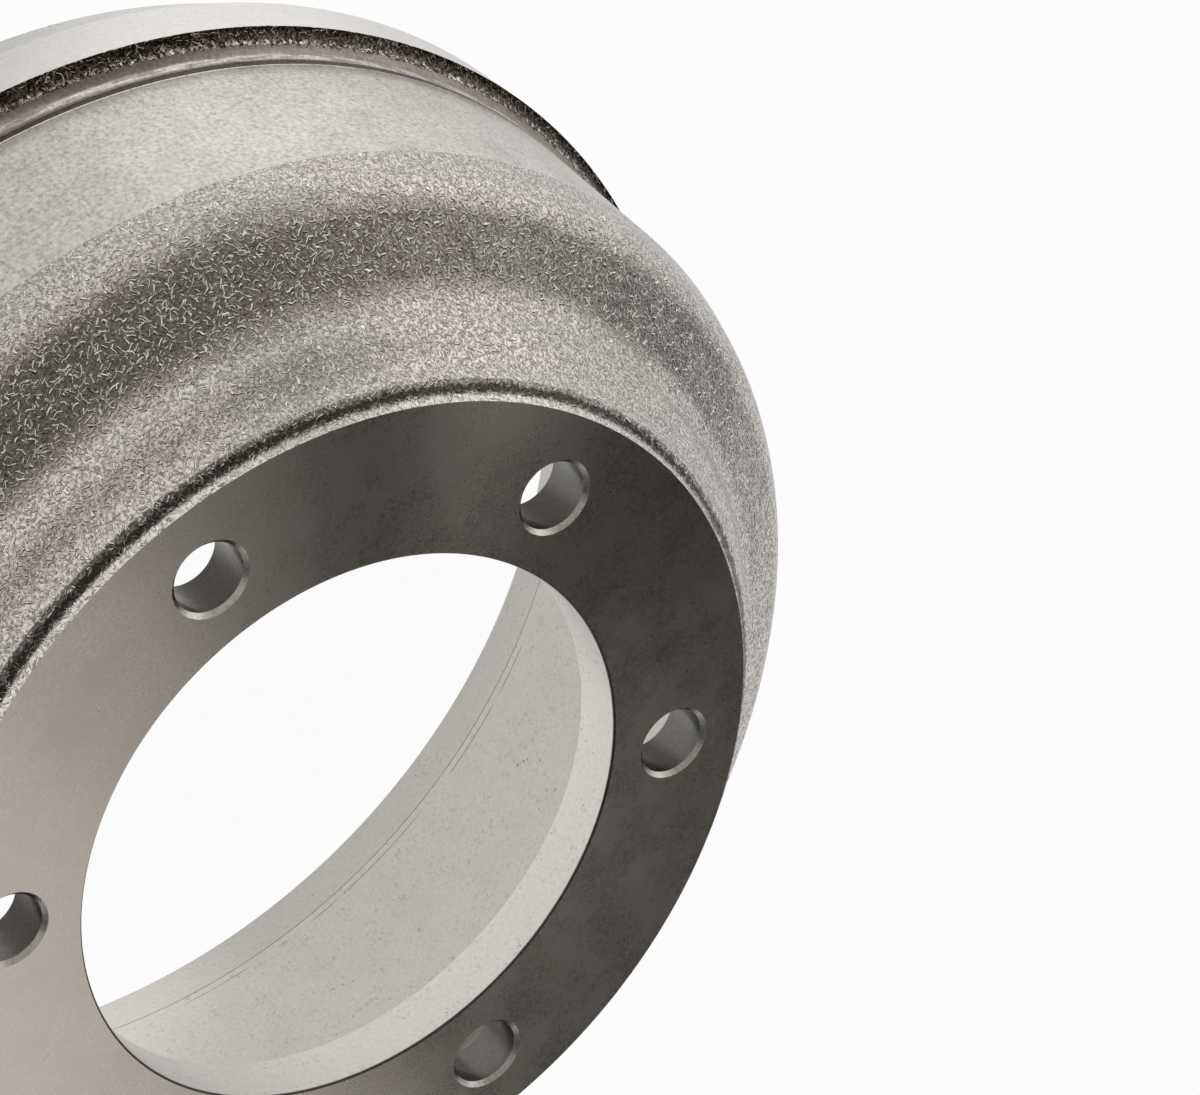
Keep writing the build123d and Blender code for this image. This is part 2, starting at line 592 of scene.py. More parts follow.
@dataclass(frozen=True)
class OutsideDressing(Dressing):
    """The outside: turned flange, relief and band, cast step and cast bowl.

    A stripe is four heights in millimetres: where it starts, is full, starts to fade and ends.

    Attributes:
        skin: The cast skin.
        roughness: Roughness of the band and the flange.
        relief_polish: How much smoother the relief is.
        band: Colour of the band.
        foot: Its colour where it meets the relief, darker there as painted shade.
        foot_shade_rise: How far that painted shade reaches up the band, in millimetres.
        relief: Colour of the relief.
        relief_highlight: Its colour along a stripe, a painted highlight broken by chatter.
        highlight_stripe: That stripe of painted highlight.
        edge: Colour of the band's lower edge, a painted highlight.
        edge_highlight_stripe: The stripe of that painted highlight.
        flange: Colour of the flange.
        flange_wear: Colour that wear gives the flange.
        flange_worn: Share of the flange that is worn.
        corner_shade: Colour of the painted shade in the corner round the hub pad.
        corner_shade_stripe: Where it lies.
        corner_shade_share: How dark it is, from 0 to 1.
        rim: Colour of the pad's edge, lighter as a painted highlight.
        rim_highlight_rise: The heights over which that painted highlight sets in, in millimetres.
        rim_highlight_share: How strong the painted highlight is, from 0 to 1.
        step_painted_shade: Shade painted on the cast step, which lies in the flange's corner.
    """

    iron: TurnedIron = TurnedIron(flecks=0.5, grain=1.2, mottle=0.42)
    skin: CastSkin = CastSkin()
    roughness: float = 0.42
    relief_polish: float = 0.22
    band: Colour = (0.71, 0.675, 0.632)
    foot: Colour = (0.46, 0.435, 0.405)
    foot_shade_rise: float = 6.0
    relief: Colour = (0.27, 0.235, 0.20)
    relief_highlight: Colour = (0.66, 0.615, 0.565)
    highlight_stripe: Stripe = (46.6, 47.7, 48.1, 49.4)
    edge: Colour = (1.0, 0.97, 0.93)
    edge_highlight_stripe: Stripe = (52.5, 52.6, 52.9, 53.05)
    flange: Colour = (0.90, 0.875, 0.843)
    flange_wear: Colour = (0.86, 0.838, 0.808)
    flange_worn: float = 0.75
    corner_shade: Colour = (0.05, 0.045, 0.04)
    corner_shade_stripe: Stripe = (146.4, 147.0, 147.5, 148.1)
    corner_shade_share: float = 0.85
    rim: Colour = (0.95, 0.92, 0.88)
    rim_highlight_rise: Span = (148.3, 148.8)
    rim_highlight_share: float = 0.35
    step_painted_shade: float = 0.55

    def turned(self, graph: Graph, at: Surface) -> Layer:
        """Build the turned iron of the flange, the relief and the band.

        Args:
            graph: The material's graph.
            at: The coordinates.

        Returns:
            The layer.
        """
        s = self.size
        on_flange = graph.step(at.height, s.step_top, s.flange_top)
        on_relief = graph.step(at.height, s.band_foot + 0.05, s.band_foot - 0.05)
        # painted shade: the band darkens towards its foot, next to the relief and the flange
        foot_shade = graph.step(at.height, s.band_foot + self.foot_shade_rise, s.band_foot)
        metal = graph.mix(foot_shade, self.band, self.foot)
        chatter = graph.step(graph.noise(at.rings, 900.0, 2.0, 0.6), 0.38, 0.56) * 0.8 + 0.2
        # painted highlight: a lighter stripe of colour across the relief, broken by chatter
        painted_highlight = graph.between(at.height, *self.highlight_stripe) * chatter
        metal = graph.mix(on_relief, metal, graph.mix(painted_highlight, self.relief, self.relief_highlight))
        # painted highlight: a thin bright line along the band's lower edge
        metal = graph.mix(graph.between(at.height, *self.edge_highlight_stripe), metal, self.edge)
        metal = graph.mix(on_flange, metal, self.flange)
        roughness = self.roughness - (on_relief - on_flange) * self.relief_polish
        made = self.iron.layer(graph, at, metal, roughness)
        made.colour = graph.mix(on_flange * self.flange_worn, made.colour, self.flange_wear)
        return made

    def layer(self, graph: Graph, at: Surface) -> Layer:
        """Build the nodes: turned iron, and cast skin on the step and on the bowl.

        The step's skin is darker as painted shade, its colour cubed, but for its burrs, which are rubbed
        bright.

        Args:
            graph: The material's graph.
            at: The coordinates.

        Returns:
            The layer.
        """
        s = self.size
        cast = self.skin.layer(graph, at)
        bowl = graph.step(at.ragged(1.2), s.band_top, s.band_top + 0.15)
        step = graph.step(at.ragged(1.6), s.step_top + 0.1, s.step_top)
        step = step * graph.step(at.ragged(0.7), s.flange_top - 0.12, s.flange_top - 0.04)
        strand = graph.step(graph.noise(at.place, 900.0, 1.0), 0.46, 0.56)
        burr = graph.step(at.ragged(3.0), s.step_top - 1.3, s.step_top - 0.3) * strand
        # painted shade: the step's skin is darkened, its colour cubed and scaled down
        squared = graph.vector("MULTIPLY", cast.colour, cast.colour)
        cubed = graph.vector("MULTIPLY", squared, cast.colour)
        step_skin = graph.mix(burr, graph.tinted(cubed, self.step_painted_shade), cast.colour)
        corner = at.ragged(2.0)
        # painted shade: a dark band in the crease round the hub pad
        corner_shade = graph.between(corner, *self.corner_shade_stripe) * self.corner_shade_share
        bowl_skin = graph.mix(corner_shade, cast.colour, self.corner_shade)
        # painted highlight: a lighter strip along the pad's edge
        bowl_skin = graph.mix(graph.step(corner, *self.rim_highlight_rise) * self.rim_highlight_share, bowl_skin, self.rim)
        cast.colour = graph.mix(step, bowl_skin, step_skin)
        return self.turned(graph, at).under(graph, graph.math("MAXIMUM", bowl, step), cast)


@dataclass(frozen=True)
class HubDressing(Dressing):
    """The hub's two faces: finely turned, with a fan of light across the rings.

    Attributes:
        metal: The iron's colour.
        roughness: Its roughness.
    """

    iron: TurnedIron = TurnedIron(marks=0.003, flecks=0.03, pits=0.1, streaks=0.12, grain=0.05, mottle=0.08)
    anisotropy: float = 0.8
    metal: Colour = (0.735, 0.665, 0.59)
    roughness: float = 0.28

    def layer(self, graph: Graph, at: Surface) -> Layer:
        """Build the nodes: turned iron alone."""
        return self.iron.layer(graph, at, self.metal, self.roughness)


@dataclass(frozen=True)
class InsideDressing(Dressing):
    """The inside, the lip and the bore: turned iron, with cast skin on the inner cone.

    Attributes:
        skin: The cast skin.
        roughness: Roughness of the turned iron.
        brake: Colour of the rubbing surface.
        mouth: Colour of the flared mouth.
        lip: Colour of the lip.
        bore: Colour of the bore's wall.
        bore_edge_shade: Colour of the chamfer at the bore's upper edge, darkened as painted shadow.
        scribe: Colour of the lines scribed round the mouth's upper edge.
        scribe_rise: Height of the second line above the first, in millimetres.
    """

    iron: TurnedIron = TurnedIron(pits=0.7, flecks=0.6, grain=0.35)
    skin: CastSkin = CastSkin(colour=(0.36, 0.35, 0.34), low=(0.2, 0.19, 0.18), crest=(0.5, 0.48, 0.46))
    roughness: float = 0.42
    brake: Colour = (0.60, 0.575, 0.54)
    mouth: Colour = (0.54, 0.515, 0.48)
    lip: Colour = (0.82, 0.80, 0.77)
    bore: Colour = (0.74, 0.715, 0.68)
    bore_edge_shade: Colour = (0.10, 0.095, 0.09)
    scribe: Colour = (0.12, 0.11, 0.10)
    scribe_rise: float = 2.5

    def layer(self, graph: Graph, at: Surface) -> Layer:
        """Build the nodes: turned iron in its colours, two scribed lines, and the cone's skin.

        Args:
            graph: The material's graph.
            at: The coordinates.

        Returns:
            The layer.
        """
        s = self.size
        in_mouth = graph.step(at.height, s.mouth_height + 0.2, s.mouth_height - 0.2)
        on_lip = graph.step(at.radius, s.mouth + 0.2, s.mouth + 0.8)
        in_bore = graph.step(at.radius, s.pad - 20.0, s.bore + 2.0)
        on_shaded_edge = in_bore * graph.step(at.height, s.hub_top - s.bore_chamfer, s.hub_top - 0.4)
        line = graph.line(at.height, s.mouth_height, 0.08, 0.24) * 0.8
        dashes = graph.step(graph.noise(at.place, 45.0, 1.0), 0.44, 0.52) * 0.75
        second = graph.line(at.height, s.mouth_height + self.scribe_rise, 0.06, 0.22) * dashes
        metal = graph.mix(in_mouth, self.brake, self.mouth)
        metal = graph.mix(graph.math("MAXIMUM", line, second), metal, self.scribe)
        metal = graph.mix(on_lip, metal, self.lip)
        metal = graph.mix(in_bore, metal, self.bore)
        # painted shadow: the chamfer at the bore's upper edge is coloured near black
        metal = graph.mix(on_shaded_edge, metal, self.bore_edge_shade)
        turned = self.iron.layer(graph, at, metal, self.roughness)
        cone = graph.step(at.ragged(0.8), s.undercut_top - 2.0, s.undercut_top - 1.8)
        cone = cone * graph.step(at.height, s.seat - 0.1, s.seat - 0.2)
        return turned.under(graph, cone, self.skin.layer(graph, at))


@dataclass(frozen=True)
class DrilledDressing(Dressing):
    """The bolt holes: coarse drill marks in a wall darkened by painted shade, under a bright chamfer.

    Attributes:
        wall: Colour of the wall, darkened as painted shade inside the hole.
        chamfer: Colour of the upper chamfer.
        roughness: Roughness of both.
    """

    iron: TurnedIron = TurnedIron(marks=0.03, flecks=0.6, pits=0.2, streaks=0.5)
    wall: Colour = (0.14, 0.134, 0.126)
    chamfer: Colour = (0.74, 0.71, 0.67)
    roughness: float = 0.26

    def layer(self, graph: Graph, at: Surface) -> Layer:
        """Build the nodes: turned iron in two colours."""
        foot = self.size.hub_top - self.size.hole_chamfer
        # painted shade: the hole's wall is coloured dark below the bright chamfer
        metal = graph.mix(graph.step(at.height, foot - 0.1, foot + 0.1), self.wall, self.chamfer)
        return self.iron.layer(graph, at, metal, self.roughness)


DRESSINGS: dict[Finish, type[Dressing]] = {
    Finish.OUTSIDE: OutsideDressing,
    Finish.HUB: HubDressing,
    Finish.INSIDE: InsideDressing,
    Finish.DRILLED: DrilledDressing,
}


# Section of the drum


Points = np.ndarray


@dataclass
class Run:
    """A smooth stretch of the section: points (radius, height) in millimetres, and its finish."""

    points: Points
    finish: Finish


def straight(start: Points, end: Points, count: int = 1) -> Points:
    """Points evenly spaced on the line from start to end, both included."""
    share = np.linspace(0.0, 1.0, count + 1)[:, None]
    return (1 - share) * np.asarray(start) + share * np.asarray(end)


def bend(start: Points, corner: Points, end: Points, radius: float, count: int) -> Points:
    """An arc that rounds a corner.

    The arc touches both legs at radius times the tangent of half the turn from the corner. Its
    points are the centre plus the radius along directions that turn evenly from one normal to
    the other.

    Args:
        start: A point on the first leg.
        corner: The corner.
        end: A point on the second leg.
        radius: The arc's radius, in millimetres.
        count: Number of steps along the arc.

    Returns:
        The arc's points.
    """
    start, corner, end = map(np.asarray, (start, corner, end))
    first = (corner - start) / np.linalg.norm(corner - start)
    second = (end - corner) / np.linalg.norm(end - corner)
    turn = math.atan2(first[0] * second[1] - first[1] * second[0], float(first @ second))
    reach = radius * math.tan(abs(turn) / 2)
    side = math.copysign(1.0, turn)
    normal = np.array([-first[1], first[0]]) * side
    centre = corner - first * reach + normal * radius
    angle = np.linspace(0.0, turn, count + 1)
    spoke = -normal * radius
    across = np.array([-spoke[1], spoke[0]])
    return centre + np.cos(angle)[:, None] * spoke + np.sin(angle)[:, None] * across


def hollow(start: Points, end: Points, radius: float, count: int) -> Points:
    """An arc of a given radius from start to end that bends in to the left of the way it goes.

    Args:
        start: The first point.
        end: The last point.
        radius: The arc's radius, in millimetres.
        count: Number of steps along the arc.

    Returns:
        The arc's points.
    """
    start, end = np.asarray(start, float), np.asarray(end, float)
    chord = end - start
    half = math.asin(np.linalg.norm(chord) / 2 / radius)
    ahead = chord / np.linalg.norm(chord)
    left = np.array([-ahead[1], ahead[0]])
    centre = (start + end) / 2 - left * radius * math.cos(half)
    angle = np.linspace(-half, half, count + 1)
    return centre + radius * (np.sin(angle)[:, None] * ahead + np.cos(angle)[:, None] * left)


@dataclass(frozen=True)
class Section:
    """The drum's half section, from the bore's lower edge round the rim to the bore's upper edge."""

    size: DrumSizes = DrumSizes()

    def outside(self) -> list[Run]:
        """Runs from the mouth's edge up the outside to the edge of the hub's upper face.

        Returns:
            The runs; those under the flange have the inside's finish.
        """
        s = self.size
        cut = s.rim_chamfer
        flange = s.foot + s.flange_overhang
        groove_outer = flange - s.flange_land
        lip = groove_outer - s.groove_width
        half = s.groove_width / 2
        spring = s.lip_height + s.groove_depth - half
        turn = np.linspace(math.pi, 0.0, 13)
        groove = np.array([lip + half, spring]) + half * np.stack([np.cos(turn), np.sin(turn)], 1)
        lip_foot = (lip, s.lip_chamfer_height)
        lip_edge = self.along((s.lip_toe, 0), lip_foot, cut)
        step = (s.foot + s.relief_depth, s.step_top)
        foot = (s.foot, s.band_foot)
        head = (s.band_head, s.band_top)
        under = [
            straight((s.mouth + cut, 0), (s.lip_toe - cut, 0)),
            straight((s.lip_toe - cut, 0), lip_edge),
            straight(lip_edge, lip_foot, 2),
            np.concatenate([straight(lip_foot, groove[0], 2)[:-1], groove]),
            straight(groove[-1], (groove_outer, s.lip_height)),
            straight((groove_outer, s.lip_height), (flange - cut, s.lip_height)),
            straight((flange - cut, s.lip_height), (flange, s.lip_height + cut)),
        ]
        above = [
            straight((flange, s.lip_height + cut), (flange, s.flange_top), 3),
            hollow((flange, s.flange_top), step, s.step_hollow, 6),
            hollow(step, foot, s.relief_bend, 12),
            straight(foot, head, 3),
            self.bowl(head),
        ]
        return [Run(part, Finish.INSIDE) for part in under] + [Run(part, Finish.OUTSIDE) for part in above]

    def bowl(self, head: tuple[float, float]) -> Points:
        """The bowl from the band's upper edge to the edge of the hub's upper face.

        Its corners are as in the CAD part: a drafted shoulder, a neck that is pulled in from the
        straight line to the ledge, the ledge and the foot of the pad. Each gets its arc.

        Args:
            head: The band's upper edge.

        Returns:
            The bowl's points.
        """
        s = self.size
        draft = s.crown_rise * math.tan(math.radians(s.crown_draft))
        corner = np.array([s.band_head - draft, s.band_top + s.crown_rise])
        pad_edge = (s.pad, s.hub_top)
        pad_foot = np.array([s.pad + s.pad_draft, s.hub_top - s.pad_rise])
        ledge = pad_foot + (s.ledge_width, -s.ledge_drop)
        run = corner - ledge
        inward = np.array([run[1], -run[0]]) / np.linalg.norm(run)
        neck = ledge + run * s.neck_share + inward * s.bowl_dish
        crown = bend(head, corner, neck, s.crown_bend, 14)
        neck_arc = bend(crown[-1], neck, ledge, s.neck_bend, 10)
        ledge_arc = bend(neck, ledge, pad_foot, s.ledge_bend, 5)
        cone = self.swell(straight(neck_arc[-1], ledge_arc[0], 14), s.cone_swell)
        foot_arc = bend(ledge, pad_foot, pad_edge, s.ledge_bend, 4)
        return np.concatenate([[head], crown, neck_arc, cone[1:-1], ledge_arc, foot_arc, [pad_edge]])

    @staticmethod
    def swell(points: Points, height: float) -> Points:
        """Let a straight stretch swell and sink by one full sine wave along its length.

        Args:
            points: The stretch, evenly spaced.
            height: Height of the wave, in millimetres.

        Returns:
            The moved points; both ends stay where they are.
        """
        ahead = points[-1] - points[0]
        out = np.array([ahead[1], -ahead[0]]) / np.linalg.norm(ahead)
        wave = np.sin(np.linspace(0.0, 2 * math.pi, len(points)))
        return points + height * wave[:, None] * out

    def inside(self) -> list[Run]:
        """Runs from the edge of the hub's inner face down the inside to the mouth's edge.

        Returns:
            The runs.
        """
        s = self.size
        cut = s.rim_chamfer
        skin = s.seat - s.seat_skin
        top = np.array([s.pad - s.cone_inset, skin])
        foot = np.array([s.run_out - s.cone_shelf, s.undercut_top])
        seat_edge = top[0] - s.seat_ring
        under = bend(foot, (s.run_out, s.undercut_top), (s.run_out, s.brake_top), s.undercut_bend, 4)
        slope_top = (s.run_out, s.brake_top + s.run_out - s.brake)
        brake_foot = (s.brake, s.mouth_height)
        mouth_edge = self.along((s.mouth, 0), brake_foot, cut)
        parts = [
            straight((seat_edge, s.seat), (seat_edge, skin)),
            straight((seat_edge, skin), top),
            straight(top, foot, 6),
            np.concatenate([[foot], under, [slope_top]]),
            straight(slope_top, (s.brake, s.brake_top)),
            straight((s.brake, s.brake_top), brake_foot, 4),
            straight(brake_foot, mouth_edge, 2),
            straight(mouth_edge, (s.mouth + cut, 0)),
        ]
        return [Run(part, Finish.INSIDE) for part in parts]

    def bore(self) -> list[Run]:
        """Runs down the bore, from the hub's upper face to its inner face.

        Returns:
            The runs.
        """
        s = self.size
        cut = s.bore_chamfer
        parts = [
            straight((s.bore + cut, s.hub_top), (s.bore, s.hub_top - cut)),
            straight((s.bore, s.hub_top - cut), (s.bore, s.seat + cut), 2),
            straight((s.bore, s.seat + cut), (s.bore + cut, s.seat)),
        ]
        return [Run(part, Finish.INSIDE) for part in parts]

    @staticmethod
    def along(start: tuple, end: tuple, distance: float) -> Points:
        """The point at a distance from start towards end."""
        start, end = np.asarray(start, float), np.asarray(end, float)
        return start + (end - start) / np.linalg.norm(end - start) * distance


# Mesh


@dataclass
class Shell:
    """A mesh under construction: corners, faces, a finish to each face and edges that stay sharp."""

    corners: list[Points] = field(default_factory=list)
    faces: list[Points] = field(default_factory=list)
    finishes: list[Points] = field(default_factory=list)
    count: int = 0

    def add(self, points: Points) -> Points:
        """Add corners from an array whose last axis is x, y and z, and return their numbers."""
        flat = points.reshape(-1, 3)
        numbers = np.arange(self.count, self.count + len(flat)).reshape(points.shape[:-1])
        self.corners.append(flat)
        self.count += len(flat)
        return numbers

    def join(self, rows: Points, finish: Finish) -> None:
        """Put quads between neighbouring rows of corner numbers, each closed on itself.

        Args:
            rows: Corner numbers as a two-dimensional grid.
            finish: The faces' finish.
        """
        ahead = np.roll(rows, -1, axis=1)
        quads = np.stack([rows[:-1], ahead[:-1], ahead[1:], rows[1:]], -1).reshape(-1, 4)
        self.faces.append(quads)
        self.finishes.append(np.full(len(quads), finish.value))

    def mesh(self, name: str, sharp_degrees: float) -> bpy.types.Mesh:
        """Make the mesh, in metres, with edges sharper than an angle left sharp.

        Args:
            name: The mesh's name.
            sharp_degrees: Smallest turn between two faces that stays sharp.

        Returns:
            The mesh.
        """
        corners = np.concatenate(self.corners) * MM
        quads = np.concatenate(self.faces)
        made = bpy.data.meshes.new(name)
        made.vertices.add(len(corners))
        made.vertices.foreach_set("co", corners.astype(np.float32).ravel())
        made.loops.add(quads.size)
        made.loops.foreach_set("vertex_index", quads.astype(np.int32).ravel())
        made.polygons.add(len(quads))
        made.polygons.foreach_set("loop_start", np.arange(0, quads.size, 4, dtype=np.int32))
        made.polygons.foreach_set("material_index", np.concatenate(self.finishes).astype(np.int32))
        made.update(calc_edges=True)
        made.validate()
        made.polygons.foreach_set("use_smooth", np.ones(len(made.polygons), bool))
        made.set_sharp_from_angle(angle=math.radians(sharp_degrees))
        return made


@dataclass
class Drum:
    """The casting: its mesh and its materials.

    Attributes:
        section: Its half section.
        steps: Corners round the axis.
        side_steps: Steps across the hub between two bolt holes.
        spoke_rows: Rows of faces from a hole's rim to its outline on the hub.
        spoke_crowding: How they crowd towards the rim; below 1 they do.
        sharp_degrees: Smallest turn between two faces that stays sharp.
    """

    section: Section = field(default_factory=Section)
    steps: int = 600
    side_steps: int = 14
    spoke_rows: int = 5
    spoke_crowding: float = 0.7
    sharp_degrees: float = 12.0

    def ring(self, points: Points) -> Points:
        """Turn points round the axis: x and y are the radius times the cosine and the sine.

        Args:
            points: Points (radius, height).

        Returns:
            A ring of corners for each point. The first lies half way between two bolt holes.
        """
        first = self.steps / (2 * self.section.size.hole_count)
        angle = (np.arange(self.steps) - first) * 2 * math.pi / self.steps
        radius, height = points[:, :1], points[:, 1:]
        x = radius * np.cos(angle)
        y = radius * np.sin(angle)
        return np.stack([x, y, np.broadcast_to(height, x.shape)], -1)

    def sweep(self, shell: Shell, runs: list[Run], first: Points | None = None,
              last: Points | None = None) -> tuple[Points, Points]:
        """Turn a chain of runs into the shell.

        Args:
            shell: The mesh under construction.
            runs: The runs, each starting where the one before ends.
            first: Corner numbers of a ring that exists already at the start, or None.
            last: The same for the end.

        Returns:
            Corner numbers of the first and the last ring.
        """
        start = shell.add(self.ring(runs[0].points[:1]))[0] if first is None else first
        here = start
        for run in runs:
            at_end = run is runs[-1] and last is not None
            rings = shell.add(self.ring(run.points[1:-1] if at_end else run.points[1:]))
            rows = np.concatenate([here[None], rings] + ([last[None]] if at_end else []))
            shell.join(rows, run.finish)
            here = rows[-1]
        return start, here

    def plate(self, shell: Shell, inner: Points, outer: Points, inner_radius: float, outer_radius: float,
              height: float, up: bool) -> list[Points]:
        """A flat ring with the bolt holes left open, between two rings of corners.

        Each sixth of the ring has one hole. Its outline runs along the outer ring, in along a
        spoke, back along the inner ring and out along the next spoke. From each point of that
        outline a straight row of corners runs in to the hole's rim, towards the hole's centre:
        a corner is (1 - v) times the outline's point plus v times the rim's.

        Args:
            shell: The mesh under construction.
            inner: Corner numbers of the inner ring.
            outer: Corner numbers of the outer ring.
            inner_radius: Its radius, in millimetres.
            outer_radius: Radius of the outer ring.
            height: Height of the plate.
            up: True if the plate faces up.

        Returns:
            Corner numbers of each hole's rim.
        """
        s = self.section.size
        per_hole = self.steps // s.hole_count
        share = np.linspace(0.0, 1.0, self.side_steps + 1)[1:-1]
        spoke_angle = (np.arange(s.hole_count) - 0.5) * 2 * math.pi / s.hole_count
        spoke_radius = outer_radius + (inner_radius - outer_radius) * share
        spokes = np.stack(
            [
                spoke_radius * np.cos(spoke_angle)[:, None],
                spoke_radius * np.sin(spoke_angle)[:, None],
                np.full((s.hole_count, len(share)), height),
            ],
            -1,
        )
        spoke_numbers = shell.add(spokes)
        corners = np.concatenate(shell.corners)
        rims = []
        for hole in range(s.hole_count):
            ring = np.arange(hole * per_hole, (hole + 1) * per_hole + 1) % self.steps
            after = (hole + 1) % s.hole_count
            outline = np.concatenate(
                [outer[ring], spoke_numbers[after], inner[ring[::-1]], spoke_numbers[hole][::-1]]
            )
            turn = hole * 2 * math.pi / s.hole_count
            centre = np.array([math.cos(turn), math.sin(turn), 0.0]) * s.hole_circle + (0, 0, height)
            away = corners[outline] - centre
            rim = centre + away / np.linalg.norm(away, axis=1, keepdims=True) * (s.hole + s.hole_chamfer)
            share_in = np.linspace(0.0, 1.0, self.spoke_rows + 1)[1:, None, None] ** self.spoke_crowding
            rows = shell.add(corners[outline] * (1 - share_in) + rim * share_in)
            grid = np.concatenate([outline[None], rows])
            shell.join(grid if up else grid[:, ::-1], Finish.HUB)
            rims.append(rows[-1])
        return rims

    def drill(self, shell: Shell, upper: Points, lower: Points) -> None:
        """The wall of one bolt hole between its rims, with a chamfer at both ends.

        Args:
            shell: The mesh under construction.
            upper: Corner numbers of the rim on the hub's upper face.
            lower: Corner numbers of the rim on the inner face.
        """
        s = self.section.size
        corners = np.concatenate(shell.corners)
        top, bottom = corners[upper], corners[lower]
        centre = 0.5 * (top[:, :2].min(axis=0) + top[:, :2].max(axis=0))
        angle = np.arctan2(top[:, 1] - centre[1], top[:, 0] - centre[0])
        angle_below = np.arctan2(bottom[:, 1] - centre[1], bottom[:, 0] - centre[0])
        middle = s.seat + s.hub_thickness / 2
        heights = np.array([s.hub_top - s.hole_chamfer, middle, s.seat + s.hole_chamfer])
        share = np.array([0.0, 0.5, 1.0])[:, None]
        gap = np.angle(np.exp(1j * (angle_below - angle)))
        turn = angle + share * gap
        wall = np.stack(
            [
                centre[0] + s.hole * np.cos(turn),
                centre[1] + s.hole * np.sin(turn),
                np.broadcast_to(heights[:, None], turn.shape),
            ],
            -1,
        )
        rows = shell.add(wall)
        shell.join(np.concatenate([upper[None], rows, lower[None]]), Finish.DRILLED)

    def build(self) -> bpy.types.Object:
        """Make the drum's object.

        Returns:
            The object, at the origin, with its place in its mesh.
        """
        s = self.section.size
        shell = Shell()
        mouth, pad = self.sweep(shell, self.section.outside())
        inside = self.section.inside()
        seat, _ = self.sweep(shell, inside, last=mouth)
        bore_top, bore_foot = self.sweep(shell, self.section.bore())
        upper = self.plate(shell, bore_top, pad, s.bore + s.bore_chamfer, s.pad, s.hub_top, True)
        seat_edge = inside[0].points[0][0]
        lower = self.plate(shell, bore_foot, seat, s.bore + s.bore_chamfer, seat_edge, s.seat, False)
        for rim, rim_below in zip(upper, lower):
            self.drill(shell, rim, rim_below)
        made = new_object("drum_casting", shell.mesh("drum_casting", self.sharp_degrees))
        for finish in Finish:
            made.data.materials.append(self.material(finish))
        return made

    def material(self, finish: Finish) -> bpy.types.Material:
        """The material of one finish: metal throughout, with the relief as bump.

        Args:
            finish: Which finish.

        Returns:
            The material.
        """
        made, graph = new_material(f"iron_{finish.name.lower()}")
        dressing = DRESSINGS[finish](self.section.size)
        layer = dressing.layer(graph, Surface(graph))
        bump = graph.value("ShaderNodeBump", inputs={"Height": layer.relief, "Distance": MM, "Strength": 1.0})
        shader = graph.value(
            "ShaderNodeBsdfPrincipled",
            inputs={
                "Base Color": layer.colour,
                "Roughness": layer.roughness,
                "Metallic": 1.0,
                "Anisotropic": dressing.anisotropy,
                "Anisotropic Rotation": 0.25,
                "Normal": bump,
            },
        )
        graph.node("ShaderNodeOutputMaterial", inputs={"Surface": shader})
        return made


# Studio


def direction(azimuth: float, elevation: float) -> Vector:
    """Unit vector at an azimuth from +X and an elevation, both in degrees."""
    a, e = math.radians(azimuth), math.radians(elevation)
    return Vector((math.cos(a) * math.cos(e), math.sin(a) * math.cos(e), math.sin(e)))


@dataclass(frozen=True)
class Softbox:
    """A square soft light.

    Attributes:
        name: The light's name.
        azimuth: Where it stands round the drum, in degrees from +X.
        elevation: Its height as an angle, in degrees.
        distance: Its distance from the aim, in metres.
        size: Its side, in metres.
        watts: Its power.
        shines: True if shiny metal shows the light, False if it only casts the soft shadow.
    """

    name: str
    azimuth: float
    elevation: float
    distance: float
    size: float
    watts: float
    shines: bool = True

    def place(self, aim: Vector) -> None:
        """Put the light in the scene.

        Args:
            aim: The point that it faces.
        """
        light = bpy.data.lights.new(self.name, "AREA")
        light.energy = self.watts
        light.size = self.size
        made = new_object(self.name, light)
        away = direction(self.azimuth, self.elevation)
        made.location = aim + away * self.distance
        made.rotation_euler = away.to_track_quat("Z", "Y").to_euler()
        made.visible_camera = False
        made.visible_glossy = self.shines


